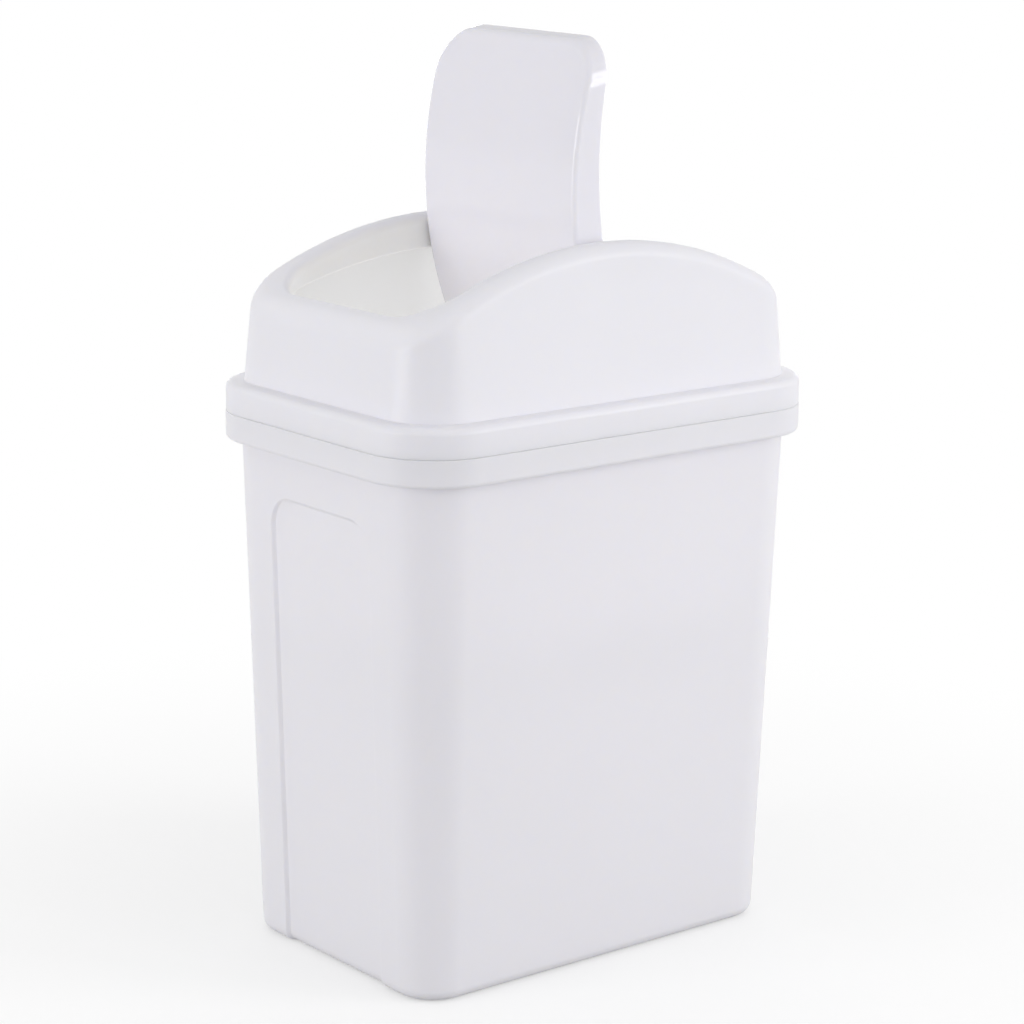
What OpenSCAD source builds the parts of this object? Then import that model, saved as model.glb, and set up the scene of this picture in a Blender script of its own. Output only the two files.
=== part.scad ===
// Countertop waste bin with a swing lid. It has three moulded pieces: a tapered bucket, a hood
// that sits in the bucket's rim and lifts off, and a bowed flap that swings in the hood's
// opening on two stub pins.
// Millimetres. +X runs along the wide sides, +Y across the narrow ones and +Z up.
// The origin is the middle of the foot. The flap stands open, as it is when it is pushed down
// at one end as far as it goes.

/* [Rim] */
// Width of the bin over its rim, the widest place
rim_w = 224; // [205:1:300]
// Depth of the bin over its rim
rim_d = 156; // [145:0.1:200]
// Corner radius of the rim, seen from above
rim_r = 32; // [30:0.5:40]
// Height of the bucket's rim band
rim_h = 11.9; // [10:0.1:16]
// How far the rim band stands out from the bucket's wall
rim_out = 7; // [5:0.1:8]
// Rounding along the lower edge of the rim band
rim_edge = 2; // [1:0.1:3]

/* [Bucket] */
// Height of the bucket, from the foot to the seam under the hood
bucket_h = 233.3; // [150:0.1:350]
// Wall of the bucket
bucket_wall = 1.8; // [1.2:0.1:2.5]
// How far each narrow side leans in, from under the rim to the foot
lean_x = 8.1; // [4:0.1:14]
// How far each wide side leans in, from under the rim to the foot
lean_y = 6.6; // [4:0.1:14]
// Corner radius of the bucket at the foot, seen from above
foot_r = 18; // [14:0.5:24]
// Rounding between the bucket's walls and its foot
foot_edge = 5; // [3:0.5:9]
// Width of the ring that the bucket stands on
foot_ring = 9; // [5:0.5:16]
// How far the middle of the bucket's bottom is raised
foot_rise = 2; // [1:0.1:4]

/* [End panels] */
// How deep the panels in the narrow sides lie
panel_depth = 1.6; // [0.8:0.1:2.5]
// Width of the panels
panel_w = 70; // [50:1:76]
// How far the panels' tops lie under the seam
panel_top = 31.6; // [24:0.1:60]
// Corner radius at the panels' tops
panel_r = 14; // [6:0.5:24]
// Width of the slope round the panels
panel_slope = 2; // [1:0.1:4]

/* [Hood] */
// Wall of the hood
hood_wall = 1.8; // [1.2:0.1:2.2]
// Height of the hood's band, from the seam to the ledge
band_h = 12.6; // [9:0.1:18]
// How far the hood's band lies in from the bucket's rim band
band_in = 0.2; // [0:0.1:1]
// Rounding along the upper edge of the hood's band
band_edge = 3; // [2:0.1:5]
// Width of the ledge between the band and the hood's wall
ledge_w = 7.8; // [6.5:0.1:9]
// Lean of the hood's walls, in degrees
hood_lean = 5.2; // [2:0.1:7]
// Height of the hood's crown over the seam, at the middle of the wide sides
crown_h = 77.2; // [76:0.1:84]
// Height of the hood's ends over the seam
end_h = 51.6; // [46:0.1:58]
// Rounding on the inside of the crown, along the wide sides
lip_edge = 4.4; // [3:0.1:5]
// Rounding on the inside of the crown, at the two ends
end_edge = 1.9; // [1.9:0.1:3]
// Width left flat along the crown, between its outer and its inner rounding
crown_flat = 0.4; // [0.3:0.1:1]
// Height of the lip round the opening, at the middle of the wide sides
lip_h = 15.2; // [13:0.1:20]
// Height of the lip round the opening, at the two ends
lip_end_h = 7; // [6.5:0.1:12]
// How far the tongue under the hood reaches into the bucket
tongue_h = 7; // [4:0.1:8]
// Gap between the tongue and the inside of the bucket's rim
tongue_gap = 0.3; // [0.2:0.05:0.6]

/* [Opening] */
// How far the opening's ends lie in from the rim
opening_end = 20.4; // [20:0.1:28]
// How far the opening's sides lie in from the rim
opening_side = 25.5; // [24:0.1:28]
// Corner radius of the opening, seen from above
opening_r = 22; // [19.5:0.5:30]

/* [Flap] */
// Gap between the flap and the opening's ends
flap_end_gap = 4; // [2:0.1:6]
// Gap between the flap and the opening's sides
flap_side_gap = 1.5; // [0.8:0.1:3]
// Corner radius of the flap, seen from above when it's shut
flap_r = 18; // [14:0.5:25]
// Wall of the flap
flap_wall = 1.8; // [1.4:0.1:2]
// Rise of the flap's bow, from its ends to its middle
flap_bow = 26; // [18:0.5:32]
// Rounding along the flap's outer edge
flap_edge = 2.4; // [2.1:0.1:4]
// Depth of the flap's skirt at its pins
skirt_h = 14.6; // [13:0.1:18]
// Depth of the flap's skirt at its ends
skirt_end_h = 8.4; // [7:0.1:10]
// How far the flap is turned from shut, in degrees
open_angle = 100.8; // [0:0.1:101]

/* [Pivot] */
// Height of the flap's pins over the seam
pivot_h = 68.6; // [66:0.1:71]
// How far the flap's outer face stands over its pins
pivot_drop = 9; // [8.5:0.1:9.5]
// Radius of the pins
pin_r = 3; // [2.4:0.1:3.2]
// Gap round the pins, in their holes
pin_gap = 0.08; // [0.02:0.01:0.1]
// How far each pin reaches past the flap's side
pin_l = 5.5; // [4:0.1:6]
// Gap between a pin's end and the end of its hole
pin_end_gap = 0.5; // [0.3:0.1:1]
// Wall round the pins' holes
boss_wall = 1.2; // [0.8:0.1:1.5]

/* [Hidden] */
white = [0.93, 0.93, 0.95];
white_gloss = [0.95, 0.95, 0.97];

// Steps in a quarter turn of a rounded edge, and of a corner seen from above
edge_steps = 5;
corner_steps = 8;
// Steps along the straight part of a wide side, and of a narrow one, of the hood and the flap
long_steps = 16;
short_steps = 4;
round_fn = 64;

rim_x = rim_w / 2;
rim_y = rim_d / 2;
neck_z = bucket_h - rim_h;
neck_x = rim_x - rim_out;
neck_y = rim_y - rim_out;
neck_r = rim_r - rim_out;
pivot_z = bucket_h + pivot_h;

// ---- Outlines seen from above, and shells made of rings of points ----

// The two signs of each corner, counter-clockwise from +X +Y
corner_x = [1, -1, -1, 1];
corner_y = [1, 1, -1, -1];

// A station is [corner share x, corner share y, direction x, direction y].
function corner(q) = [
    for (k = [0 : corner_steps])
        let (a = 90 * (q + k / corner_steps))
        [corner_x[q], corner_y[q], cos(a), sin(a)]
];
function side(q, steps) = [
    for (k = [1 : steps - 1])
        let (t = k / steps, p = (q + 1) % 4, a = 90 * (q + 1))
        [corner_x[q] * (1 - t) + corner_x[p] * t, corner_y[q] * (1 - t) + corner_y[p] * t, cos(a), sin(a)]
];
// All stations round a rounded rectangle, from the middle of its +X side
function stations(long, short) = concat(
    [for (k = [0 : short / 2 - 1]) [1, 2 * k / short, 1, 0]],
    corner(0), side(0, long),
    corner(1), side(1, short),
    corner(2), side(2, long),
    corner(3), [for (k = [1 : short / 2 - 1]) [1, 2 * k / short - 1, 1, 0]]
);
// The place of station s on a rounded rectangle of half sizes x and y and corner radius r
function place(s, x, y, r) = [s[0] * (x - r) + s[2] * r, s[1] * (y - r) + s[3] * r];
function blend(a, b, t) = a * (1 - t) + b * t;
function at(p, z) = [p[0], p[1], z];

// Radius of the bow that rises by rise over half its length
function bow_r(half, rise) = (half * half + rise * rise) / (2 * rise);
// How far that bow has fallen at x
function bow_fall(x, half, rise) = let (r = bow_r(half, rise)) r - sqrt(r * r - x * x);

// Faces between ring j and ring k, of n points each
function band_faces(j, k, n) = [
    for (i = [0 : n - 1])
        let (h = (i + 1) % n)
        each [[j * n + i, k * n + i, k * n + h], [j * n + i, k * n + h, j * n + h]]
];
// Faces that close ring j, where point i lies opposite point n - i across the X axis: a fan over
// the points within end of each tip, and a strip between the fans.
// turn is 1 for the ring that looks down and -1 for the one that looks up.
function turned(face, turn) = turn > 0 ? face : [face[0], face[2], face[1]];
function cap_faces(j, n, end, turn) = [
    for (f = concat(
        [for (i = [-end : end - 2]) [end, (n + i) % n, (n + i + 1) % n]],
        [
            for (i = [end : n / 2 - end - 1])
                each [[i, i + 1, n - i - 1], [i, n - i - 1, n - i]]
        ],
        [for (i = [n / 2 - end + 1 : n / 2 + end - 1]) [n / 2 - end, i, i + 1]]
    ))
        turned([j * n + f[0], j * n + f[1], j * n + f[2]], turn)
];

// A shell whose first and last rings are closed by caps
module capped_shell(rings, end) {
    n = len(rings[0]);
    m = len(rings);
    polyhedron(
        points = [for (ring = rings) each ring],
        faces = concat(
            [for (j = [0 : m - 2]) each band_faces(j, j + 1, n)],
            cap_faces(0, n, end, 1),
            cap_faces(m - 1, n, end, -1)
        )
    );
}

// A shell whose last ring joins its first one, round an opening
module hooped_shell(rings) {
    n = len(rings[0]);
    m = len(rings);
    polyhedron(
        points = [for (ring = rings) each ring],
        faces = [for (j = [0 : m - 1]) each band_faces(j, (j + 1) % m, n)]
    );
}

// ---- Bucket ----

panel_y = panel_w / 2;
panel_z = bucket_h - panel_top;
panel_bend_z = panel_z - panel_r;

// The wall's half sizes and corner radius at height z
function lean_share(z) = max(0, 1 - z / neck_z);
function wall_x(z) = neck_x - lean_x * lean_share(z);
function wall_y(z) = neck_y - lean_y * lean_share(z);
function wall_r(z) = neck_r - (neck_r - foot_r) * lean_share(z);

// How far a point of a narrow side lies inside the panel's outline
function panel_inside(y, z) =
    let (u = abs(y) - (panel_y - panel_r), v = z - panel_bend_z)
    u > 0 && v > 0 ? panel_r - norm([u, v]) : min(panel_y - abs(y), panel_z - z);
function smooth(t) = let (c = min(max(t, 0), 1)) c * c * (3 - 2 * c);
function dent(y, z) = panel_depth * smooth(panel_inside(y, z) / panel_slope);

// The narrow side's points at height z follow the panel's outline, and come from y = 0 outwards.
function panel_bend(z) = panel_y - panel_r + sqrt(max(0, panel_r ^ 2 - max(0, z - panel_bend_z) ^ 2));
function end_column(z) = [
    0,
    panel_bend(z) / 2,
    for (k = [edge_steps - 1 : -1 : 0]) panel_bend(z) - panel_slope * k / (edge_steps - 1)
];

// One ring of the bucket: off is how far it lies in from the wall's outside, and dented is 1
// where the end panels show.
function bucket_ring(off, z, dented) =
    let (
        x = wall_x(z) - off,
        y = wall_y(z) - off,
        r = max(wall_r(z) - off, 1),
        spread = min(1, (y - r) / (panel_y + 1)),
        ys = end_column(z) * spread,
        down = [for (k = [len(ys) - 1 : -1 : 1]) ys[k]],
        shape = function (s) at(place(s, x, y, r), z)
    )
    concat(
        [for (v = ys) [x - dented * dent(v, z), v, z]],
        [for (s = concat(corner(0), side(0, short_steps), corner(1))) shape(s)],
        [for (v = down) [dented * dent(v, z) - x, v, z]],
        [for (v = ys) [dented * dent(v, z) - x, -v, z]],
        [for (s = concat(corner(2), side(2, short_steps), corner(3))) shape(s)],
        [for (v = down) [x - dented * dent(v, z), -v, z]]
    );

// Heights at which the walls have rings, from the foot up
wall_zs = [
    foot_edge + bucket_wall,
    neck_z / 4,
    neck_z / 2,
    panel_bend_z - panel_r / 4,
    for (a = [0, 22, 42, 60]) panel_bend_z + panel_r * sin(a),
    panel_z - panel_slope / 2,
    panel_z - panel_slope / 4,
    panel_z,
    neck_z - rim_edge
];

// A rounded step outwards at height z, from off_in to off_out, as [off, height] pairs
jog = [
    [0, neck_z - 1],
    [-0.3, neck_z - 0.3],
    [-1, neck_z],
    for (k = [0 : edge_steps])
        let (a = 90 * k / edge_steps)
        [-(rim_out - rim_edge) - rim_edge * sin(a), neck_z + rim_edge * (1 - cos(a))]
];
rim_break = 0.4;
floor_z = foot_rise + bucket_wall;

bucket_rings = concat(
    [
        bucket_ring(foot_edge + foot_ring * 3, foot_rise, 0),
        bucket_ring(foot_edge + foot_ring + foot_rise, foot_rise, 0),
        bucket_ring(foot_edge + foot_ring, 0, 0)
    ],
    [
        for (k = [0 : edge_steps])
            let (a = 90 * k / edge_steps)
            bucket_ring(foot_edge * (1 - sin(a)), foot_edge * (1 - cos(a)), 1)
    ],
    [for (z = wall_zs) bucket_ring(0, z, 1)],
    [for (p = jog) bucket_ring(p[0], p[1], 0)],
    [
        bucket_ring(-rim_out, bucket_h - rim_break, 0),
        bucket_ring(rim_break - rim_out, bucket_h, 0),
        bucket_ring(bucket_wall - rim_out, bucket_h, 0)
    ],
    [
        for (k = [len(jog) - 1 : -1 : 3])
            bucket_ring(jog[k][0] + bucket_wall, jog[k][1] + bucket_wall, 0)
    ],
    [
        bucket_ring(bucket_wall, neck_z + bucket_wall, 0),
        for (k = [len(wall_zs) - 1 : -1 : 0]) bucket_ring(bucket_wall, wall_zs[k], 1)
    ],
    [
        for (k = [edge_steps - 1 : -1 : 0])
            let (a = 90 * k / edge_steps, r = foot_edge - bucket_wall)
            bucket_ring(bucket_wall + r * (1 - sin(a)), floor_z + r * (1 - cos(a)), 1)
    ],
    [bucket_ring(foot_edge + foot_ring * 3, floor_z, 0)]
);

module bucket() {
    color(white) capped_shell(bucket_rings, edge_steps + 1 + corner_steps);
}

// ---- Hood ----

ledge_z = bucket_h + band_h;
band_x = rim_x - band_in;
band_y = rim_y - band_in;
band_r = rim_r - band_in;
base_in = band_in + ledge_w;
open_x = rim_x - opening_end;
open_y = rim_y - opening_side;
crown_x = open_x + end_edge;
// The outside of the crown is rounded with what its width leaves over, beside and at the ends.
function top_in(h) = base_in + (h - band_h) * tan(hood_lean);
side_round = rim_y - top_in(crown_h) - open_y - lip_edge - crown_flat;
end_round = rim_x - top_in(end_h) - open_x - end_edge - crown_flat;
tongue_out = bucket_wall + tongue_gap;

hood_stations = stations(long_steps, short_steps);

// Places that lie in from the rim by off, and out from the opening by off
function from_rim(s, off) = place(s, rim_x - off, rim_y - off, rim_r - off);
function from_opening(s, off) = place(s, open_x + off, open_y + off, opening_r + off);
// The hood's wall at height z, with off as the depth under its outside
function hood_place(s, z, off) = from_rim(s, base_in + (z - ledge_z) * tan(hood_lean) + off);

// How much of a station belongs to a wide side, and the crown's outer rounding there
function beside(s) = abs(s[3]);
function crown_edge(s) = blend(end_round, side_round, beside(s));
// The crown is a bow along X: its height over a place, and the wall's top at a station.
function crown_z(p) = bucket_h + crown_h - bow_fall(p[0], crown_x, crown_h - end_h);
function wall_top_z(s) =
    let (z = crown_z(from_rim(s, base_in)) - crown_edge(s))
    crown_z(hood_place(s, z, 0)) - crown_edge(s);
// Height of the lip's lower edge at a station
function lip_z(s) =
    bucket_h + crown_h - lip_h
    - bow_fall(from_opening(s, 0)[0], open_x, crown_h - lip_h - (end_h - lip_end_h));

// Rounding on the outside of the crown: turn is 0 at the wall and 90 on the crown, and off is
// the depth under the hood's outside.
function outer_edge(s, turn, off) =
    let (r = crown_edge(s) - off, p = hood_place(s, wall_top_z(s), off + r * (1 - cos(turn))))
    at(p, crown_z(p) - off - r * (1 - sin(turn)));
// Rounding on the inside of the crown: turn is 0 at the lip and 90 on the crown
function inner_edge(s, turn, off) =
    let (
        reach = blend(end_edge, lip_edge, beside(s)) - off,
        p = from_opening(s, off + reach * (1 - cos(turn)))
    )
    at(p, crown_z(p) - off - (lip_edge - off) * (1 - sin(turn)));

ledge_fillet = 0.6;
seam_break = 0.3;
tongue_taper = 2;
lip_round = hood_wall / 2;
band_edge_inside = band_edge - hood_wall;

hood_rings = concat(
    // From the seam up the band's outside, over the ledge
    [
        [for (s = hood_stations) at(from_rim(s, band_in + seam_break), bucket_h)],
        [for (s = hood_stations) at(from_rim(s, band_in), bucket_h + seam_break)]
    ],
    [
        for (k = [0 : edge_steps])
            let (a = 90 * k / edge_steps, off = band_in + band_edge * (1 - cos(a)))
            [for (s = hood_stations) at(from_rim(s, off), ledge_z - band_edge * (1 - sin(a)))]
    ],
    [
        for (p = [[1, 0], [0.3, 0.3], [0, 1]])
            let (off = base_in - ledge_fillet * p[0])
            [for (s = hood_stations) at(from_rim(s, off), ledge_z + ledge_fillet * p[1])]
    ],
    // Up the wall and over the crown to the lip
    [
        for (t = [0.3, 0.65])
            [
                for (s = hood_stations)
                    let (z = blend(ledge_z + ledge_fillet, wall_top_z(s), t))
                    at(hood_place(s, z, 0), z)
            ]
    ],
    [
        for (k = [0 : edge_steps + 1])
            [for (s = hood_stations) outer_edge(s, 90 * k / (edge_steps + 1), 0)]
    ],
    [
        for (k = [edge_steps : -1 : 0])
            [for (s = hood_stations) inner_edge(s, 90 * k / edge_steps, 0)]
    ],
    // Round the lip's lower edge and up behind it
    [
        for (a = [0, 45, 90, 135, 180])
            [
                for (s = hood_stations)
                    at(from_opening(s, lip_round * (1 - cos(a))), lip_z(s) + lip_round * (1 - sin(a)))
            ]
    ],
    // Under the crown and down the inside of the wall
    [for (a = [0, 30, 60, 90]) [for (s = hood_stations) inner_edge(s, a, hood_wall)]],
    [for (a = [90, 60, 30, 0]) [for (s = hood_stations) outer_edge(s, a, hood_wall)]],
    [
        for (t = [0.5, 0])
            [
                for (s = hood_stations)
                    let (z = blend(ledge_z - hood_wall, wall_top_z(s), t))
                    at(hood_place(s, z, hood_wall), z)
            ]
    ],
    // Under the ledge, down inside the band and round the tongue
    [
        for (a = [90, 45, 0])
            let (off = band_in + hood_wall + band_edge_inside * (1 - cos(a)))
            [
                for (s = hood_stations)
                    at(from_rim(s, off), ledge_z - hood_wall - band_edge_inside * (1 - sin(a)))
            ]
    ],
    [
        for (p = [
            [band_in + hood_wall, bucket_h + 2 * tongue_taper],
            [tongue_out + hood_wall, bucket_h + tongue_taper],
            [tongue_out + hood_wall, bucket_h - tongue_h],
            [tongue_out + seam_break, bucket_h - tongue_h],
            [tongue_out, bucket_h - tongue_h + seam_break],
            [tongue_out, bucket_h]
        ])
            [for (s = hood_stations) at(from_rim(s, p[0]), p[1])]
    ]
);

// How far the pins and their holes reach from the middle plane
pin_tip = open_y - flap_side_gap + pin_l;
hole_end = pin_tip + pin_end_gap;
hole_r = pin_r + pin_gap;
boss_r = hole_r + boss_wall;
boss_end_wall = 1.5;

// A round bar along Y at the pivot, from y0 to y1 on both sides
module pivot_bars(r, y0, y1) {
    for (turn = [0, 180])
        translate([0, 0, pivot_z])
            rotate([0, 0, turn])
                translate([0, y0, 0])
                    rotate([-90, 0, 0])
                        cylinder(r = r, h = y1 - y0, $fn = round_fn);
}

module hood() {
    color(white)
        difference() {
            union() {
                hooped_shell(hood_rings);
                pivot_bars(boss_r, open_y + hood_wall - 0.1, hole_end + boss_end_wall);
            }
            pivot_bars(hole_r, open_y - 1, hole_end);
        }
}

// ---- Flap, drawn shut about its pivot ----

flap_x = open_x - flap_end_gap;
flap_y = open_y - flap_side_gap;
flap_stations = stations(long_steps, short_steps);
skirt_fall = flap_bow - pivot_drop + skirt_end_h;

function flap_place(s, off) = place(s, flap_x - off, flap_y - off, max(flap_r - off, 1));
// Heights of the outer face and of the skirt's free edge at x, over the pivot
function face_z(x) = pivot_drop - bow_fall(x, flap_x, flap_bow);
function skirt_z(x) =
    pivot_drop - skirt_h - bow_fall(x, flap_x, flap_bow + skirt_end_h - skirt_h);

// A ring that lies in by off and under the outer face by depth
function face_ring(off, depth) = [
    for (s = flap_stations)
        let (p = flap_place(s, off))
        at(p, face_z(p[0]) - depth)
];
// A ring of the skirt, over its free edge by rise
function skirt_ring(off, rise) = [
    for (s = flap_stations)
        let (p = flap_place(s, off))
        at(p, skirt_z(p[0]) + rise)
];

// How far the rings that fill the face lie in from its edge
fill_offs = [8, 18, 30, 41];
skirt_round = 0.6;
flap_edge_inside = flap_edge - flap_wall;

flap_rings = concat(
    [for (k = [3 : -1 : 0]) face_ring(fill_offs[k], flap_wall)],
    [
        for (a = [90, 45, 0])
            face_ring(
                flap_wall + flap_edge_inside * (1 - cos(a)),
                flap_wall + flap_edge_inside * (1 - sin(a))
            )
    ],
    [skirt_ring(flap_wall, skirt_round), skirt_ring(flap_wall - skirt_round, 0)],
    [skirt_ring(skirt_round, 0), skirt_ring(0, skirt_round)],
    [
        for (k = [0 : edge_steps])
            let (a = 90 * k / edge_steps)
            face_ring(flap_edge * (1 - cos(a)), flap_edge * (1 - sin(a)))
    ],
    [for (off = fill_offs) face_ring(off, 0)]
);

module flap() {
    color(white_gloss) {
        translate([0, 0, pivot_z])
            rotate([0, -open_angle, 0])
                capped_shell(flap_rings, short_steps / 2 + corner_steps);
        pivot_bars(pin_r, flap_y - flap_wall, pin_tip);
    }
}

bucket();
hood();
flap();
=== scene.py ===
"""Looks of the countertop waste bin: finely sampled shells over the CAD frame, moulded
polypropylene materials, studio floor, soft lights and the photograph's camera."""

import math

import bmesh
import bpy
import numpy as np
from mathutils import Matrix, Vector


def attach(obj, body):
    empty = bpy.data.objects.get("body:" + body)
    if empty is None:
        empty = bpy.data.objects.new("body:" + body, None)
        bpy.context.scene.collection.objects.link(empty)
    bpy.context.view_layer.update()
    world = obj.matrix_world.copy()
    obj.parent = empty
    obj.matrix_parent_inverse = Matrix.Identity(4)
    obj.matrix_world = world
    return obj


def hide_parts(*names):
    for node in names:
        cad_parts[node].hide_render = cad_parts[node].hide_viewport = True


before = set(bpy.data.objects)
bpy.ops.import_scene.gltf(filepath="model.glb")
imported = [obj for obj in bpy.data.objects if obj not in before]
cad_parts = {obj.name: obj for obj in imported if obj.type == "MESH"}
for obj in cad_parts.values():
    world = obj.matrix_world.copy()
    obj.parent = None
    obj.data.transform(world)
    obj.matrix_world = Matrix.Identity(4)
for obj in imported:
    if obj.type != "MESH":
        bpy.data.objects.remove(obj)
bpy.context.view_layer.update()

MM = 0.001

# ---- Sizes, in millimetres, the same as the CAD source's ----

RIM_W, RIM_D, RIM_R, RIM_H, RIM_OUT, RIM_EDGE = 224, 156, 32, 11.9, 7, 2
BUCKET_H, BUCKET_WALL = 233.3, 1.8
LEAN_X, LEAN_Y, FOOT_R, FOOT_EDGE = 8.1, 6.6, 18, 5
FOOT_RING, FOOT_RISE = 9, 2
PANEL_DEPTH, PANEL_W, PANEL_TOP, PANEL_R, PANEL_SLOPE = 1.6, 70, 31.6, 14, 2
HOOD_WALL, BAND_H, BAND_IN, BAND_EDGE, LEDGE_W, HOOD_LEAN = 1.8, 12.6, 0.2, 3, 7.8, 5.2
CROWN_H, END_H, LIP_EDGE, END_EDGE, CROWN_FLAT = 77.2, 51.6, 4.4, 1.9, 0.4
LIP_H, LIP_END_H, TONGUE_H, TONGUE_GAP = 15.2, 7, 7, 0.3
OPENING_END, OPENING_SIDE, OPENING_R = 20.4, 25.5, 22
FLAP_END_GAP, FLAP_SIDE_GAP, FLAP_R, FLAP_WALL = 4, 1.5, 18, 1.8
FLAP_BOW, FLAP_EDGE, SKIRT_H, SKIRT_END_H, OPEN_ANGLE = 26, 2.4, 14.6, 8.4, 100.8
PIVOT_H, PIVOT_DROP, PIN_R, PIN_GAP, PIN_L = 68.6, 9, 3, 0.08, 5.5
PIN_END_GAP, BOSS_WALL = 0.5, 1.2

RIM_X, RIM_Y = RIM_W / 2, RIM_D / 2
NECK_Z = BUCKET_H - RIM_H
NECK_X, NECK_Y, NECK_R = RIM_X - RIM_OUT, RIM_Y - RIM_OUT, RIM_R - RIM_OUT
PIVOT_Z = BUCKET_H + PIVOT_H
PANEL_Y, PANEL_Z = PANEL_W / 2, BUCKET_H - PANEL_TOP
PANEL_BEND_Z = PANEL_Z - PANEL_R
LEDGE_Z = BUCKET_H + BAND_H
BASE_IN = BAND_IN + LEDGE_W
OPEN_X, OPEN_Y = RIM_X - OPENING_END, RIM_Y - OPENING_SIDE
CROWN_X = OPEN_X + END_EDGE
TAN_LEAN = math.tan(math.radians(HOOD_LEAN))
SIDE_TOP = RIM_Y - BASE_IN - (CROWN_H - BAND_H) * TAN_LEAN
END_TOP = RIM_X - BASE_IN - (END_H - BAND_H) * TAN_LEAN
SIDE_ROUND = SIDE_TOP - OPEN_Y - LIP_EDGE - CROWN_FLAT
END_ROUND = END_TOP - OPEN_X - END_EDGE - CROWN_FLAT
TONGUE_OUT = BUCKET_WALL + TONGUE_GAP
FLAP_X, FLAP_Y = OPEN_X - FLAP_END_GAP, OPEN_Y - FLAP_SIDE_GAP
PIN_TIP = FLAP_Y + PIN_L
HOLE_END = PIN_TIP + PIN_END_GAP

# ---- Stations round a rounded rectangle, seen from above ----

CORNER_STEPS, LONG_STEPS, SHORT_STEPS = 22, 64, 12
CORNERS = [(1, 1), (-1, 1), (-1, -1), (1, -1)]
LEAST_R = 1


def corner(q):
    """Stations round the corner q, each with its corner's signs and its outward direction."""
    turns = [math.pi / 2 * (q + k / CORNER_STEPS) for k in range(CORNER_STEPS + 1)]
    return [(*CORNERS[q], math.cos(a), math.sin(a)) for a in turns]


def side(q, steps):
    """Stations along the side from the corner q to the next one, without its ends."""
    a = math.pi / 2 * (q + 1)
    (x0, y0), (x1, y1) = CORNERS[q], CORNERS[(q + 1) % 4]
    shares = [k / steps for k in range(1, steps)]
    return [
        (x0 + (x1 - x0) * t, y0 + (y1 - y0) * t, math.cos(a), math.sin(a)) for t in shares
    ]


def stations(long, short):
    """Stations all round, from the middle of the end at +X."""
    half = short // 2
    first = [(1, k / half, 1, 0) for k in range(half)]
    last = [(1, k / half - 1, 1, 0) for k in range(1, half)]
    around = corner(0) + side(0, long) + corner(1) + side(1, short)
    return np.array(first + around + corner(2) + side(2, long) + corner(3) + last)


def place(s, x, y, r):
    """Places of the stations s on a rounded rectangle of half sizes x and y and corner radius
    r, as (n, 2). Each of the three is one number, or one for each station."""
    return np.stack([s[:, 0] * (x - r) + s[:, 2] * r, s[:, 1] * (y - r) + s[:, 3] * r], 1)


def at(p, z):
    """The places p at height z, which is one number or one for each place, as (n, 3)."""
    return np.column_stack([p, np.broadcast_to(z, len(p))])


def quarter(steps):
    """The turns from 0 to a right angle, both included."""
    return [math.pi / 2 * k / steps for k in range(steps + 1)]


def bow_fall(x, half, rise):
    """How far an arc of height rise over the span from -half to half has fallen at x."""
    r = (half * half + rise * rise) / (2 * rise)
    return r - np.sqrt(r * r - x * x)


# ---- Meshes from rings of points ----

MERGE_M, DEGENERATE_M = 2e-6, 1e-6
BAR_SIDES = 64


def add_object(name, bm):
    """The object made from bm, in the scene."""
    mesh = bpy.data.meshes.new(name)
    bm.to_mesh(mesh)
    bm.free()
    piece = bpy.data.objects.new(name, mesh)
    bpy.context.scene.collection.objects.link(piece)
    return piece


def shell(name, rings, hoop=False, spines=(None, None), inner=()):
    """A closed mesh through the rings. A hoop's last ring joins its first one; otherwise each
    end is closed on its spine, a ring that lies on the line y = 0. The attribute "inside" is
    0 on the outer faces, 1 on the inner ones, and 0.5 on the hood's lip and tongue and on the
    bucket's floor; inner holds its value for each ring."""
    rings = [np.asarray(r) for r in rings]
    inner = list(inner) or [0] * len(rings)
    if not hoop:
        rings = [spines[0]] + rings + [spines[1]]
        inner = [inner[0]] + inner + [inner[-1]]
    n, m = len(rings[0]), len(rings)
    bm = bmesh.new()
    layer = bm.verts.layers.float.new("inside")
    verts = [bm.verts.new(Vector(p) * MM) for ring in rings for p in ring]
    for k, vert in enumerate(verts):
        vert[layer] = inner[k // n]
    for j in range(m if hoop else m - 1):
        k = (j + 1) % m
        for i in range(n):
            h = (i + 1) % n
            bm.faces.new([verts[q] for q in (j * n + i, j * n + h, k * n + h, k * n + i)])
    bmesh.ops.remove_doubles(bm, verts=bm.verts, dist=MERGE_M)
    bmesh.ops.dissolve_degenerate(bm, edges=bm.edges, dist=DEGENERATE_M)
    bmesh.ops.recalc_face_normals(bm, faces=bm.faces)
    return add_object(name, bm)


def spine(ring, reach):
    """The ring pressed onto the line y = 0, at most reach from the middle."""
    flat = np.array(ring)
    flat[:, 0] = np.clip(flat[:, 0], -reach, reach)
    flat[:, 1] = 0
    return flat


def bars(name, outline):
    """Two round bars along Y at the pivot, one on each side, turned from outline, a list of
    (distance from the middle plane, radius)."""
    bm = bmesh.new()
    turns = [2 * math.pi * k / BAR_SIDES for k in range(BAR_SIDES)]
    for sign in (1, -1):
        loops = []
        for y, r in outline:
            points = [(r * math.cos(a), sign * y, PIVOT_Z + r * math.sin(a)) for a in turns]
            loops.append([bm.verts.new(Vector(p) * MM) for p in points])
        for one, two in zip(loops, loops[1:]):
            for k in range(BAR_SIDES):
                h = (k + 1) % BAR_SIDES
                bm.faces.new([one[k], one[h], two[h], two[k]])
        bm.faces.new(loops[0])
        bm.faces.new(loops[-1])
    bmesh.ops.recalc_face_normals(bm, faces=bm.faces)
    return add_object(name, bm)


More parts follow.
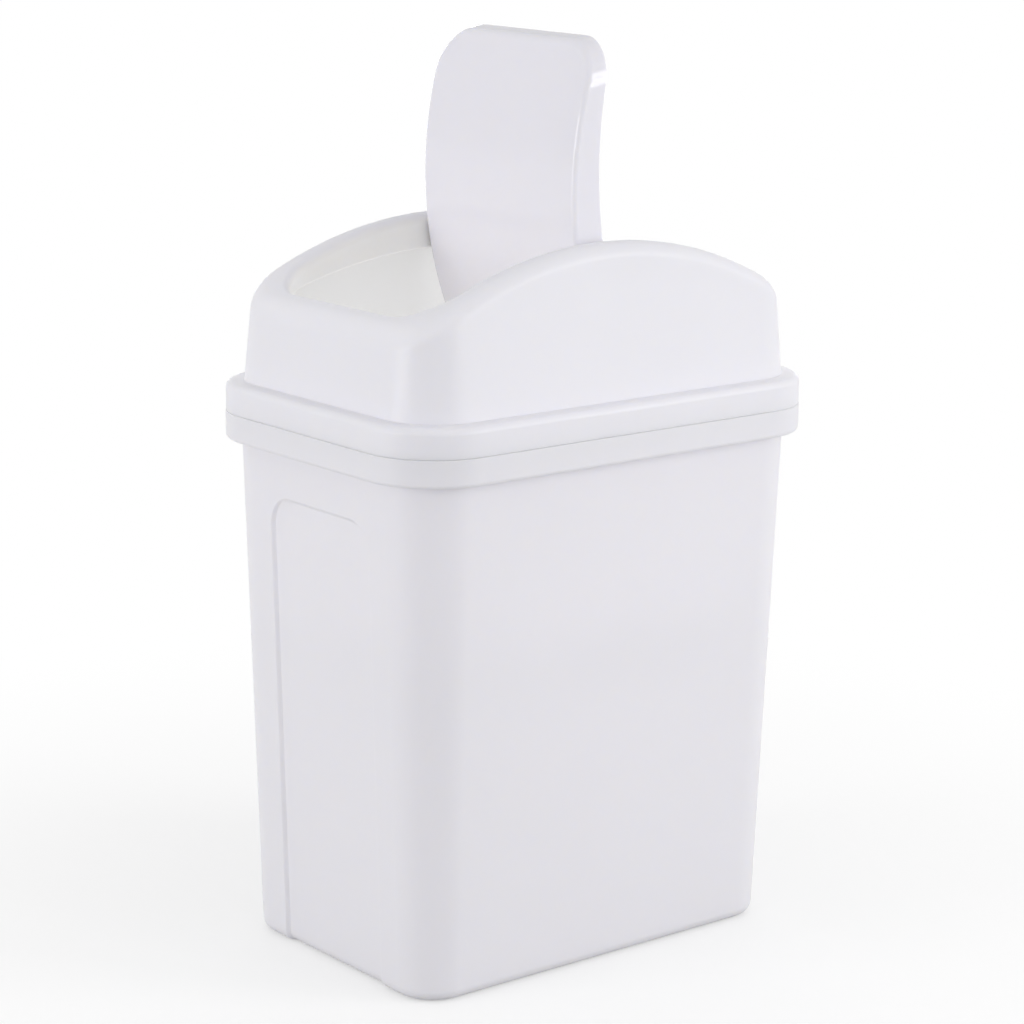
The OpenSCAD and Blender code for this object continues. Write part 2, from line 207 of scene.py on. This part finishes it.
def combine(piece, other, operation):
    """Joins other to piece, or cuts it away, and removes other."""
    cut = piece.modifiers.new("cut", "BOOLEAN")
    cut.object, cut.operation, cut.solver = other, operation, "EXACT"
    graph = bpy.context.evaluated_depsgraph_get()
    mesh = bpy.data.meshes.new_from_object(piece.evaluated_get(graph))
    piece.modifiers.clear()
    piece.data = mesh
    mesh.name = piece.name
    bpy.data.objects.remove(other)


SHARP_DEG, FLAT_WEIGHT = 50, 80


def smooth(piece):
    """Smooth shading that keeps flat faces flat and edges over SHARP_DEG sharp."""
    mesh = piece.data
    mesh.polygons.foreach_set("use_smooth", [True] * len(mesh.polygons))
    mesh.set_sharp_from_angle(angle=math.radians(SHARP_DEG))
    weighted = piece.modifiers.new("even_normals", "WEIGHTED_NORMAL")
    weighted.keep_sharp = True
    weighted.weight = FLAT_WEIGHT


# ---- Bucket ----

WALL_STEPS, COLUMN_STEPS, SLOPE_STEPS = 8, 5, 8
BEND_DEG, BEND_STEP_DEG, BEND_GAP = 78, 7, 0.2
WALL_FOOT, PANEL_MARGIN, PANEL_CLEAR = 12, 4, 1
FLOOR_IN, FLOOR_STEP, FOOT_FLAT, RIM_BREAK, EDGE_BREAK = 18, 3, 0.5, 0.4, 0.3
# The small fillet under the rim, as (outwards, upwards) from the top of the wall
NECK_FILLET = [(0, -1), (0.12, -0.5), (0.4, -0.14), (1, 0)]


def smooth_step(t):
    """0 up to t = 0 and 1 from t = 1 on, with a smooth rise between."""
    c = np.clip(t, 0, 1)
    return c * c * (3 - 2 * c)


def dent(y, z):
    """Depth of the end panel at places y of height z."""
    u, v = np.abs(y) - (PANEL_Y - PANEL_R), z - PANEL_BEND_Z
    straight = np.minimum(PANEL_Y - np.abs(y), PANEL_Z - z)
    round_in = PANEL_R - np.hypot(u, v)
    inside = np.where((u > 0) & (v > 0), round_in, straight)
    return PANEL_DEPTH * smooth_step(inside / PANEL_SLOPE)


def end_column(z):
    """Half of an end wall's places at height z, which crowd on the panel's slope."""
    bend = PANEL_Y - PANEL_R + math.sqrt(max(0, PANEL_R**2 - max(0, z - PANEL_BEND_Z) ** 2))
    flat = [(bend - PANEL_SLOPE) * k / COLUMN_STEPS for k in range(COLUMN_STEPS)]
    slope = [bend - PANEL_SLOPE * (1 - k / SLOPE_STEPS) for k in range(SLOPE_STEPS + 1)]
    return np.array(flat + slope)


def bucket_ring(off, z, dented):
    """The bucket's ring at height z, off inside its outer face, with or without the panels."""
    lean = max(0, 1 - z / NECK_Z)
    x, y = NECK_X - LEAN_X * lean - off, NECK_Y - LEAN_Y * lean - off
    r = max(NECK_R - (NECK_R - FOOT_R) * lean - off, LEAST_R)
    ys = end_column(z) * min(1, (y - r) / (PANEL_Y + PANEL_CLEAR))
    xs = x - dented * dent(ys, z)
    out = np.column_stack([xs, ys, np.full(len(ys), z)])
    back = out[:0:-1]
    far = np.array(corner(0) + side(0, WALL_STEPS) + corner(1))
    near = np.array(corner(2) + side(2, WALL_STEPS) + corner(3))
    parts = [
        out,
        at(place(far, x, y, r), z),
        back * [-1, 1, 1],
        out * [-1, -1, 1],
        at(place(near, x, y, r), z),
        back * [1, -1, 1],
    ]
    return np.concatenate(parts)


def wall_heights():
    """Heights of the wall's rings, which crowd on the round top of the panels."""
    bends = [
        PANEL_BEND_Z + PANEL_R * math.sin(math.radians(a))
        for a in range(0, BEND_DEG, BEND_STEP_DEG)
    ]
    tops = [PANEL_Z - PANEL_SLOPE * (1 - k / SLOPE_STEPS) for k in range(SLOPE_STEPS + 1)]
    low = [z for z in bends if z < tops[0] - BEND_GAP]
    foot = [FOOT_EDGE + BUCKET_WALL, FOOT_EDGE + WALL_FOOT]
    walls = [NECK_Z / 4, NECK_Z / 2, PANEL_BEND_Z - PANEL_MARGIN]
    return foot + walls + low + tops + [PANEL_Z + PANEL_MARGIN, NECK_Z - RIM_EDGE]


def bucket_rings():
    """The bucket's rings, from its underside up outside, over the rim and down to its floor."""
    foot_in = FOOT_EDGE + FOOT_RING
    floor_z = FOOT_RISE + BUCKET_WALL
    inside_edge = FOOT_EDGE - BUCKET_WALL
    zs = wall_heights()
    lip = RIM_OUT - RIM_EDGE
    under = [
        (-lip - RIM_EDGE * math.sin(a), NECK_Z + RIM_EDGE * (1 - math.cos(a)))
        for a in quarter(8)
    ]
    neck = [(-out, NECK_Z + rise) for out, rise in NECK_FILLET]
    rings = [
        bucket_ring(foot_in + FLOOR_IN, FOOT_RISE, 0),
        bucket_ring(foot_in + FLOOR_STEP, FOOT_RISE, 0),
        bucket_ring(foot_in + FOOT_RISE, FOOT_RISE, 0),
        bucket_ring(foot_in, 0, 0),
        bucket_ring(foot_in - FOOT_FLAT, 0, 0),
        bucket_ring(FOOT_EDGE + FOOT_FLAT, 0, 0),
    ]
    rings += [
        bucket_ring(FOOT_EDGE * (1 - math.sin(a)), FOOT_EDGE * (1 - math.cos(a)), 1)
        for a in quarter(12)
    ]
    rings += [bucket_ring(0, z, 1) for z in zs]
    rings += [bucket_ring(off, z, 0) for off, z in neck + under]
    rings += [
        bucket_ring(
            -RIM_OUT + RIM_BREAK * (1 - math.cos(a)), BUCKET_H - RIM_BREAK * (1 - math.sin(a)), 0
        )
        for a in quarter(4)
    ]
    rings += [
        bucket_ring(BUCKET_WALL - RIM_OUT - EDGE_BREAK, BUCKET_H, 0),
        bucket_ring(BUCKET_WALL - RIM_OUT, BUCKET_H - EDGE_BREAK, 0),
    ]
    rings += [bucket_ring(off + BUCKET_WALL, z + BUCKET_WALL, 0) for off, z in under[::-1]]
    rings += [bucket_ring(BUCKET_WALL, NECK_Z + BUCKET_WALL, 0)]
    rings += [bucket_ring(BUCKET_WALL, z, 1) for z in zs[::-1]]
    rings += [
        bucket_ring(
            BUCKET_WALL + inside_edge * (1 - math.sin(a)),
            floor_z + inside_edge * (1 - math.cos(a)),
            1,
        )
        for a in quarter(8)[::-1]
    ]
    rings += [bucket_ring(foot_in + FLOOR_IN, floor_z, 0)]
    return rings


# ---- Hood ----

AROUND = stations(LONG_STEPS, SHORT_STEPS)
BESIDE = np.abs(AROUND[:, 3])
CROWN_EDGE = END_ROUND * (1 - BESIDE) + SIDE_ROUND * BESIDE
LEDGE_FILLET, BAND_FLAT, TONGUE_TAPER, LIP_STEPS = 0.6, 0.5, 2, 12
OUTER_SHARES, INNER_SHARES = (0.03, 0.3, 0.65, 0.97), (0.5, 0)


def from_rim(off):
    """Places off inside the rim's outline."""
    return place(AROUND, RIM_X - off, RIM_Y - off, RIM_R - off)


def from_opening(off):
    """Places off outside the opening's outline."""
    return place(AROUND, OPEN_X + off, OPEN_Y + off, OPENING_R + off)


def hood_place(z, off):
    """Places of the leaning wall at height z, off inside its outer face."""
    return from_rim(BASE_IN + (z - LEDGE_Z) * TAN_LEAN + off)


def crown_z(p):
    """Height of the bowed crown over the places p."""
    return BUCKET_H + CROWN_H - bow_fall(p[:, 0], CROWN_X, CROWN_H - END_H)


def wall_top_z():
    """Height at which the leaning wall goes over into the crown's outer edge."""
    z = crown_z(from_rim(BASE_IN)) - CROWN_EDGE
    return crown_z(hood_place(z, 0)) - CROWN_EDGE


def lip_z():
    """Height of the opening's lip, which bows like the crown."""
    rise = CROWN_H - LIP_H - (END_H - LIP_END_H)
    return BUCKET_H + CROWN_H - LIP_H - bow_fall(from_opening(0)[:, 0], OPEN_X, rise)


def outer_edge(turn, off):
    """The crown's round outer edge, from the wall at turn 0 to the top."""
    r = CROWN_EDGE - off
    p = hood_place(wall_top_z(), off + r * (1 - math.cos(turn)))
    return at(p, crown_z(p) - off - r * (1 - math.sin(turn)))


def inner_edge(turn, off):
    """The crown's round inner edge, from the opening at turn 0 to the top."""
    reach = END_EDGE * (1 - BESIDE) + LIP_EDGE * BESIDE - off
    p = from_opening(off + reach * (1 - math.cos(turn)))
    return at(p, crown_z(p) - off - (LIP_EDGE - off) * (1 - math.sin(turn)))


def hood_wall_ring(share, low, off):
    """A ring of the leaning wall, at a share of the way up from the height low."""
    z = low * (1 - share) + wall_top_z() * share
    return at(hood_place(z, off), z)


def hood_rings():
    """The hood's rings, from its foot up outside, over the lip, down inside and round the
    tongue."""
    round_r = HOOD_WALL / 2
    inside = BAND_EDGE - HOOD_WALL
    band_inside = BAND_IN + HOOD_WALL
    rings = [
        at(
            from_rim(BAND_IN + EDGE_BREAK * (1 - math.sin(a))),
            BUCKET_H + EDGE_BREAK * (1 - math.cos(a)),
        )
        for a in quarter(3)
    ]
    rings += [at(from_rim(BAND_IN), LEDGE_Z - BAND_EDGE - BAND_FLAT)]
    rings += [
        at(
            from_rim(BAND_IN + BAND_EDGE * (1 - math.cos(a))),
            LEDGE_Z - BAND_EDGE * (1 - math.sin(a)),
        )
        for a in quarter(10)
    ]
    rings += [
        at(
            from_rim(BASE_IN - LEDGE_FILLET * (1 - math.sin(a))),
            LEDGE_Z + LEDGE_FILLET * (1 - math.cos(a)),
        )
        for a in quarter(6)
    ]
    rings += [hood_wall_ring(t, LEDGE_Z + LEDGE_FILLET, 0) for t in OUTER_SHARES]
    rings += [outer_edge(a, 0) for a in quarter(16)]
    rings += [inner_edge(a, 0) for a in quarter(12)[::-1]]
    rings += [
        at(from_opening(round_r * (1 - math.cos(a))), lip_z() + round_r * (1 - math.sin(a)))
        for a in [math.pi * k / LIP_STEPS for k in range(LIP_STEPS + 1)]
    ]
    rings += [inner_edge(a, HOOD_WALL) for a in quarter(6)]
    rings += [outer_edge(a, HOOD_WALL) for a in quarter(8)[::-1]]
    rings += [hood_wall_ring(t, LEDGE_Z - HOOD_WALL, HOOD_WALL) for t in INNER_SHARES]
    rings += [
        at(
            from_rim(band_inside + inside * (1 - math.cos(a))),
            LEDGE_Z - HOOD_WALL - inside * (1 - math.sin(a)),
        )
        for a in quarter(5)[::-1]
    ]
    tongue = [
        (band_inside, BUCKET_H + 2 * TONGUE_TAPER),
        (TONGUE_OUT + HOOD_WALL, BUCKET_H + TONGUE_TAPER),
        (TONGUE_OUT + HOOD_WALL, BUCKET_H - TONGUE_H + EDGE_BREAK),
        (TONGUE_OUT + HOOD_WALL - EDGE_BREAK, BUCKET_H - TONGUE_H),
        (TONGUE_OUT + EDGE_BREAK, BUCKET_H - TONGUE_H),
        (TONGUE_OUT, BUCKET_H - TONGUE_H + EDGE_BREAK),
        (TONGUE_OUT, BUCKET_H),
    ]
    return rings + [at(from_rim(off), z) for off, z in tongue]


# ---- Flap ----

SKIRT_BREAK, SKIRT_LOW = 0.6, 1.5
FACE_STEPS = [4, 6, 9, 13, 18, 24, 30, 36, 42]


def flap_place(off):
    """Places off inside the shut flap's outline."""
    return place(AROUND, FLAP_X - off, FLAP_Y - off, max(FLAP_R - off, LEAST_R))


def face_z(x):
    """Height of the shut flap's bowed face over the pivot."""
    return PIVOT_DROP - bow_fall(x, FLAP_X, FLAP_BOW)


def skirt_z(x):
    """Height of the skirt's lower edge over the pivot."""
    return PIVOT_DROP - SKIRT_H - bow_fall(x, FLAP_X, FLAP_BOW + SKIRT_END_H - SKIRT_H)


def face_ring(off, depth):
    """A ring of the flap, depth under its face."""
    p = flap_place(off)
    return at(p, face_z(p[:, 0]) - depth)


def skirt_ring(off, rise):
    """A ring of the flap, rise over the skirt's lower edge."""
    p = flap_place(off)
    return at(p, skirt_z(p[:, 0]) + rise)


def flap_rings():
    """The shut flap's rings, about the pivot, from its underside out to the skirt, round the
    skirt's edge and back in over its face."""
    inside = FLAP_EDGE - FLAP_WALL
    rings = [face_ring(off, FLAP_WALL) for off in FACE_STEPS[::-1]]
    rings += [
        face_ring(FLAP_WALL + inside * (1 - math.cos(a)), FLAP_WALL + inside * (1 - math.sin(a)))
        for a in quarter(5)[::-1]
    ]
    rings += [skirt_ring(FLAP_WALL, SKIRT_LOW)]
    rings += [
        skirt_ring(FLAP_WALL - SKIRT_BREAK * (1 - math.cos(a)), SKIRT_BREAK * (1 - math.sin(a)))
        for a in quarter(4)
    ]
    rings += [
        skirt_ring(SKIRT_BREAK * (1 - math.sin(a)), SKIRT_BREAK * (1 - math.cos(a)))
        for a in quarter(4)
    ]
    rings += [skirt_ring(0, SKIRT_LOW)]
    rings += [
        face_ring(FLAP_EDGE * (1 - math.cos(a)), FLAP_EDGE * (1 - math.sin(a)))
        for a in quarter(10)
    ]
    return rings + [face_ring(off, 0) for off in FACE_STEPS]


def open_up(ring):
    """The ring, drawn shut about the pivot, turned to where the flap stands."""
    a = math.radians(OPEN_ANGLE)
    x, y, z = ring.T
    return np.stack(
        [x * math.cos(a) - z * math.sin(a), y, x * math.sin(a) + z * math.cos(a) + PIVOT_Z], 1
    )


# ---- Materials ----

# The inner faces' colour is painted light: it is lighter and warmer than the outer plastic and
# stands in for light coming through the walls into the bin.
REFRACTION, SINK_RATIO, INNER_PAINTED_LIGHT = 1.49, (1, 0.97, 0.9), (0.94, 0.925, 0.912, 1)
CLOUD_SCALE, CLOUD_DIM = 14, 0.985
SATIN_SCALE, SATIN_DETAIL, SATIN_SPREAD = 45, 4, 0.12
WAVE_SCALE, GRAIN_SCALE, GRAIN_MM = 9, 260, 0.008
NOISE_LOW, NOISE_HIGH = 0.3, 0.7
DEPTH_MM, INNER_MM, LIP_INSIDE = 1.5, 22, 0.5
FLOOR_ROUGH, FLOOR_SHINE, FLOOR_GREY = 0.9, 0.1, (0.6, 0.6, 0.6, 1)
FLOOR_LIFT, FADE_FROM_M, FADE_TO_M = 0.42, 0.12, 0.5


def plastic(name, colour, rough, wave_mm, inner_mm=0):
    """Moulded polypropylene: light sinks DEPTH_MM into the outer faces, and inner_mm into the
    inner ones. The inner faces' lighter, warmer colour is painted light for light coming
    through the walls. It has a faint cloudiness, a satin that varies a little, a soft grain
    and a slow waviness of depth wave_mm."""
    mat = bpy.data.materials.new(name)
    mat.use_nodes = True
    nodes, links = mat.node_tree.nodes, mat.node_tree.links
    shader = nodes["Principled BSDF"]
    shader.inputs["IOR"].default_value = REFRACTION
    shader.inputs["Subsurface Weight"].default_value = 1
    shader.inputs["Subsurface Radius"].default_value = SINK_RATIO
    shader.inputs["Subsurface Scale"].default_value = DEPTH_MM * MM
    coords = nodes.new("ShaderNodeTexCoord")

    def noise(scale, detail=2.0):
        node = nodes.new("ShaderNodeTexNoise")
        node.inputs["Scale"].default_value = scale
        node.inputs["Detail"].default_value = detail
        links.new(coords.outputs["Object"], node.inputs["Vector"])
        return node.outputs["Fac"]

    def ramp(value, low, high):
        node = nodes.new("ShaderNodeMapRange")
        node.inputs["From Min"].default_value = NOISE_LOW
        node.inputs["From Max"].default_value = NOISE_HIGH
        node.inputs["To Min"].default_value = low
        node.inputs["To Max"].default_value = high
        links.new(value, node.inputs["Value"])
        return node.outputs["Result"]

    tint = nodes.new("ShaderNodeMix")
    tint.data_type = "RGBA"
    tint.inputs["A"].default_value = (*[c * CLOUD_DIM for c in colour], 1)
    tint.inputs["B"].default_value = (*colour, 1)
    links.new(noise(CLOUD_SCALE), tint.inputs["Factor"])
    if inner_mm:
        where = nodes.new("ShaderNodeAttribute")
        where.attribute_name = "inside"
        depth = nodes.new("ShaderNodeMapRange")
        depth.inputs["From Min"].default_value = LIP_INSIDE
        depth.inputs["To Min"].default_value = DEPTH_MM * MM
        depth.inputs["To Max"].default_value = inner_mm * MM
        links.new(where.outputs["Fac"], depth.inputs["Value"])
        links.new(depth.outputs["Result"], shader.inputs["Subsurface Scale"])
        # Painted light: the inner walls, the lip, the tongue and the floor get the lighter, warmer
        # inner colour for light coming through the walls.
        painted_light_share = nodes.new("ShaderNodeMapRange")
        painted_light_share.inputs["From Max"].default_value = LIP_INSIDE
        links.new(where.outputs["Fac"], painted_light_share.inputs["Value"])
        painted_light_mix = nodes.new("ShaderNodeMix")
        painted_light_mix.data_type = "RGBA"
        links.new(painted_light_share.outputs["Result"], painted_light_mix.inputs["Factor"])
        links.new(tint.outputs["Result"], painted_light_mix.inputs["A"])
        painted_light_mix.inputs["B"].default_value = INNER_PAINTED_LIGHT
        links.new(painted_light_mix.outputs["Result"], shader.inputs["Base Color"])
    else:
        links.new(tint.outputs["Result"], shader.inputs["Base Color"])
    satin = ramp(
        noise(SATIN_SCALE, SATIN_DETAIL), rough * (1 - SATIN_SPREAD), rough * (1 + SATIN_SPREAD)
    )
    links.new(satin, shader.inputs["Roughness"])
    slow = nodes.new("ShaderNodeBump")
    slow.inputs["Strength"].default_value = 1
    slow.inputs["Distance"].default_value = wave_mm * MM
    links.new(noise(WAVE_SCALE, 1), slow.inputs["Height"])
    fine = nodes.new("ShaderNodeBump")
    fine.inputs["Strength"].default_value = 1
    fine.inputs["Distance"].default_value = GRAIN_MM * MM
    links.new(noise(GRAIN_SCALE, 1), fine.inputs["Height"])
    links.new(slow.outputs["Normal"], fine.inputs["Normal"])
    links.new(fine.outputs["Normal"], shader.inputs["Normal"])
    return mat


BUCKET_WHITE = plastic("bucket_white_satin", (0.838, 0.831, 0.871), 0.44, 0.5, INNER_MM)
HOOD_WHITE = plastic("hood_white_satin", (0.837, 0.833, 0.874), 0.42, 0.4, INNER_MM)
FLAP_WHITE = plastic("flap_white_gloss", (0.84, 0.833, 0.883), 0.09, 0.3)


def finish(piece, body, mat):
    """Gives the piece its material and puts it in its body's place, as the node of that name."""
    piece.data.materials.clear()
    piece.data.materials.append(mat)
    smooth(piece)
    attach(piece, body)
    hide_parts(body)


# ---- Pieces ----

BOTTOM_REACH, BOSS_END_WALL, BOSS_ROOT, PIN_ROOT, HOLE_START = 40, 1.5, 0.1, 0.2, 1
# The bucket's last INNER_RINGS rings lie inside its rim, and the last FLOOR_RINGS on its floor.
# The hood's numbers count along hood_rings(), its tongue's from the end.
INNER_RINGS, FLOOR_RINGS = 21 + len(wall_heights()), 4
LIP_RING, LIP_END, LIP_BLEND = 47, 60, 9
TONGUE_RINGS, TONGUE_BLEND = 12, 2


def make_bucket():
    rings = bucket_rings()
    walls = INNER_RINGS - FLOOR_RINGS
    inner = [0] * (len(rings) - INNER_RINGS) + [1] * walls + [LIP_INSIDE] * FLOOR_RINGS
    ends = (spine(rings[0], BOTTOM_REACH), spine(rings[-1], BOTTOM_REACH))
    bucket = shell("bucket_shell", rings, spines=ends, inner=inner)
    finish(bucket, "bucket", BUCKET_WHITE)


def hood_inside(ring, count):
    """The attribute "inside" on one of the hood's count rings. It rises to a half over the
    opening's edge and to 1 over the lip, and falls back to a half above the tongue."""
    lip = smooth_step((ring - LIP_RING) / LIP_BLEND)
    wall = smooth_step((ring - LIP_END) / LIP_BLEND)
    tongue = smooth_step((ring - count + TONGUE_RINGS + TONGUE_BLEND) / TONGUE_BLEND)
    return LIP_INSIDE * (lip + wall) - LIP_INSIDE * tongue


def make_hood():
    rings = hood_rings()
    inner = [hood_inside(k, len(rings)) for k in range(len(rings))]
    hood = shell("hood_shell", rings, hoop=True, inner=inner)
    hole_r = PIN_R + PIN_GAP
    boss_r = hole_r + BOSS_WALL
    boss_end = HOLE_END + BOSS_END_WALL
    boss = [
        (OPEN_Y + HOOD_WALL - BOSS_ROOT, boss_r),
        (boss_end - EDGE_BREAK, boss_r),
        (boss_end, boss_r - EDGE_BREAK),
    ]
    combine(hood, bars("bosses", boss), "UNION")
    combine(hood, bars("holes", [(OPEN_Y - HOLE_START, hole_r), (HOLE_END, hole_r)]), "DIFFERENCE")
    finish(hood, "hood", HOOD_WHITE)


def make_flap():
    shut = flap_rings()
    ends = []
    for ring, depth in ((shut[0], FLAP_WALL), (shut[-1], 0)):
        line = spine(ring, FLAP_X - FLAP_Y)
        line[:, 2] = face_z(line[:, 0]) - depth
        ends.append(open_up(line))
    flap = shell("flap_shell", [open_up(ring) for ring in shut], spines=ends)
    pins = [
        (FLAP_Y - FLAP_WALL + PIN_ROOT, PIN_R),
        (PIN_TIP - EDGE_BREAK, PIN_R),
        (PIN_TIP, PIN_R - EDGE_BREAK),
    ]
    combine(flap, bars("pins", pins), "UNION")
    finish(flap, "flap", FLAP_WHITE)


make_bucket()
make_hood()
make_flap()

# ---- Floor, light and camera ----

FLOOR_R_M, FLOOR_SIDES, FLOOR_DROP_M = 30, 96, 0.0002


def floor_material():
    """Grey paper that a faint glow lifts towards white for camera and glossy rays. It shows
    the bin's shadow, and goes over into plain white at a distance."""
    mat = bpy.data.materials.new("floor_paper")
    mat.use_nodes = True
    nodes, links = mat.node_tree.nodes, mat.node_tree.links
    shader = nodes["Principled BSDF"]
    shader.inputs["Roughness"].default_value = FLOOR_ROUGH
    shader.inputs["Specular IOR Level"].default_value = FLOOR_SHINE
    shader.inputs["Base Color"].default_value = FLOOR_GREY
    out = nodes["Material Output"]
    path = nodes.new("ShaderNodeLightPath")
    seen = nodes.new("ShaderNodeMath")
    seen.operation = "MAXIMUM"
    links.new(path.outputs["Is Camera Ray"], seen.inputs[0])
    links.new(path.outputs["Is Glossy Ray"], seen.inputs[1])
    paper = nodes.new("ShaderNodeEmission")
    lift = nodes.new("ShaderNodeEmission")
    lift.inputs["Strength"].default_value = FLOOR_LIFT
    both = nodes.new("ShaderNodeAddShader")
    links.new(shader.outputs["BSDF"], both.inputs[0])
    links.new(lift.outputs["Emission"], both.inputs[1])
    coords = nodes.new("ShaderNodeTexCoord")
    length = nodes.new("ShaderNodeVectorMath")
    length.operation = "LENGTH"
    links.new(coords.outputs["Object"], length.inputs[0])
    far = nodes.new("ShaderNodeMapRange")
    far.interpolation_type = "SMOOTHSTEP"
    far.inputs["From Min"].default_value = FADE_FROM_M
    far.inputs["From Max"].default_value = FADE_TO_M
    links.new(length.outputs["Value"], far.inputs["Value"])
    fade = nodes.new("ShaderNodeMixShader")
    links.new(far.outputs["Result"], fade.inputs[0])
    links.new(both.outputs[0], fade.inputs[1])
    links.new(paper.outputs["Emission"], fade.inputs[2])
    pick = nodes.new("ShaderNodeMixShader")
    links.new(seen.outputs[0], pick.inputs[0])
    links.new(shader.outputs["BSDF"], pick.inputs[1])
    links.new(fade.outputs[0], pick.inputs[2])
    links.new(pick.outputs[0], out.inputs["Surface"])
    return mat


bm = bmesh.new()
bmesh.ops.create_circle(bm, cap_ends=True, segments=FLOOR_SIDES, radius=FLOOR_R_M)
floor = add_object("floor", bm)
floor.location.z = -FLOOR_DROP_M
floor.data.materials.append(floor_material())

# The studio is a little dimmer above and behind the bin than before it
BEHIND = (0.49, 0.6, 0.63)
FRONT_LEVEL, BACK_LEVEL = 0.75, 0.68


def studio_world():
    """Plain white to camera and transmission rays, and dimmer as a light on the object."""
    world = bpy.data.worlds.new("studio")
    world.use_nodes = True
    nodes, links = world.node_tree.nodes, world.node_tree.links
    background = nodes["Background"]
    background.inputs["Color"].default_value = (1, 1, 1, 1)
    path = nodes.new("ShaderNodeLightPath")
    ways = nodes.new("ShaderNodeTexCoord")
    facing = nodes.new("ShaderNodeVectorMath")
    facing.operation = "DOT_PRODUCT"
    facing.inputs[1].default_value = BEHIND
    links.new(ways.outputs["Generated"], facing.inputs[0])
    level = nodes.new("ShaderNodeMapRange")
    level.inputs["From Min"].default_value = -1
    level.inputs["To Min"].default_value = FRONT_LEVEL
    level.inputs["To Max"].default_value = BACK_LEVEL
    links.new(facing.outputs["Value"], level.inputs["Value"])
    through = nodes.new("ShaderNodeMath")
    through.operation = "MAXIMUM"
    links.new(path.outputs["Is Camera Ray"], through.inputs[0])
    links.new(path.outputs["Is Transmission Ray"], through.inputs[1])
    seen = nodes.new("ShaderNodeMix")
    seen.inputs["B"].default_value = 1
    links.new(through.outputs["Value"], seen.inputs["Factor"])
    links.new(level.outputs["Result"], seen.inputs["A"])
    links.new(seen.outputs["Result"], background.inputs["Strength"])
    return world


bpy.context.scene.world = studio_world()


def softbox(name, place_m, aim_m, size, watts):
    """An area lamp that the camera doesn't see."""
    lamp = bpy.data.lights.new(name, "AREA")
    lamp.shape = "RECTANGLE"
    lamp.size, lamp.size_y = size
    lamp.energy = watts
    box = bpy.data.objects.new(name, lamp)
    bpy.context.scene.collection.objects.link(box)
    box.visible_camera = False
    box.location = place_m
    box.rotation_euler = (Vector(aim_m) - Vector(place_m)).to_track_quat("-Z", "Y").to_euler()


MID = (0, 0, 0.17)
GLOW_SIZE = (0.13, 0.09)
# Name, place, aim, size, all in metres, and watts. What is lit only through the walls renders
# far too dark, so the two weak glow lamps inside the bin stand in for that light.
LAMPS = [
    ("softbox_left", (-1.6, 0.35, 0.3), MID, (0.6, 0.9), 8),
    ("softbox_right", (1.05, -1.35, 0.72), MID, (0.65, 0.8), 7.6),
    ("softbox_strip", (0.3, -1.2, 0.36), MID, (0.2, 0.7), 1.4),
    ("softbox_back", (1.1, 1.3, 0.3), MID, (1.2, 0.5), 4),
    ("glow_up", (0, 0, 0.14), (0, 0, 0.3), GLOW_SIZE, 0.075),
    ("glow_down", (0, 0, 0.13), (0, 0, 0), GLOW_SIZE, 0.035),
]
for lamp in LAMPS:
    softbox(*lamp)

AZIMUTH_DEG, ELEVATION_DEG, ROLL_DEG = -39.0654, 13.1248, 0.6635
CAMERA_AWAY_M, TARGET_RIGHT_M, TARGET_DROP_M = 1.35897, -0.0009, 0.04772
LENS_MM, SENSOR_MM, CLIP_START_M, CLIP_END_M = 110.23, 36, 0.05, 30


def photo_camera():
    """The camera as fitted to the edges in the photograph, aimed below the bucket's rim."""
    az, el, roll = (math.radians(a) for a in (AZIMUTH_DEG, ELEVATION_DEG, ROLL_DEG))
    back = Vector((math.sin(az) * math.cos(el), -math.cos(az) * math.cos(el), math.sin(el)))
    right = Vector((math.cos(az), math.sin(az), 0))
    up = back.cross(right)
    cam_x = right * math.cos(roll) + up * math.sin(roll)
    cam_y = up * math.cos(roll) - right * math.sin(roll)
    target = right * TARGET_RIGHT_M + Vector((0, 0, BUCKET_H * MM - TARGET_DROP_M))
    spot = target + back * CAMERA_AWAY_M
    camera_data = bpy.data.cameras.new("camera")
    camera_data.lens = LENS_MM
    camera_data.sensor_width = SENSOR_MM
    camera_data.clip_start = CLIP_START_M
    camera_data.clip_end = CLIP_END_M
    camera = bpy.data.objects.new("camera", camera_data)
    bpy.context.scene.collection.objects.link(camera)
    turn = Matrix((cam_x, cam_y, back)).transposed().to_4x4()
    camera.matrix_world = Matrix.Translation(spot) @ turn
    return camera


bpy.context.scene.camera = photo_camera()

bpy.context.scene.view_settings.view_transform = "Standard"
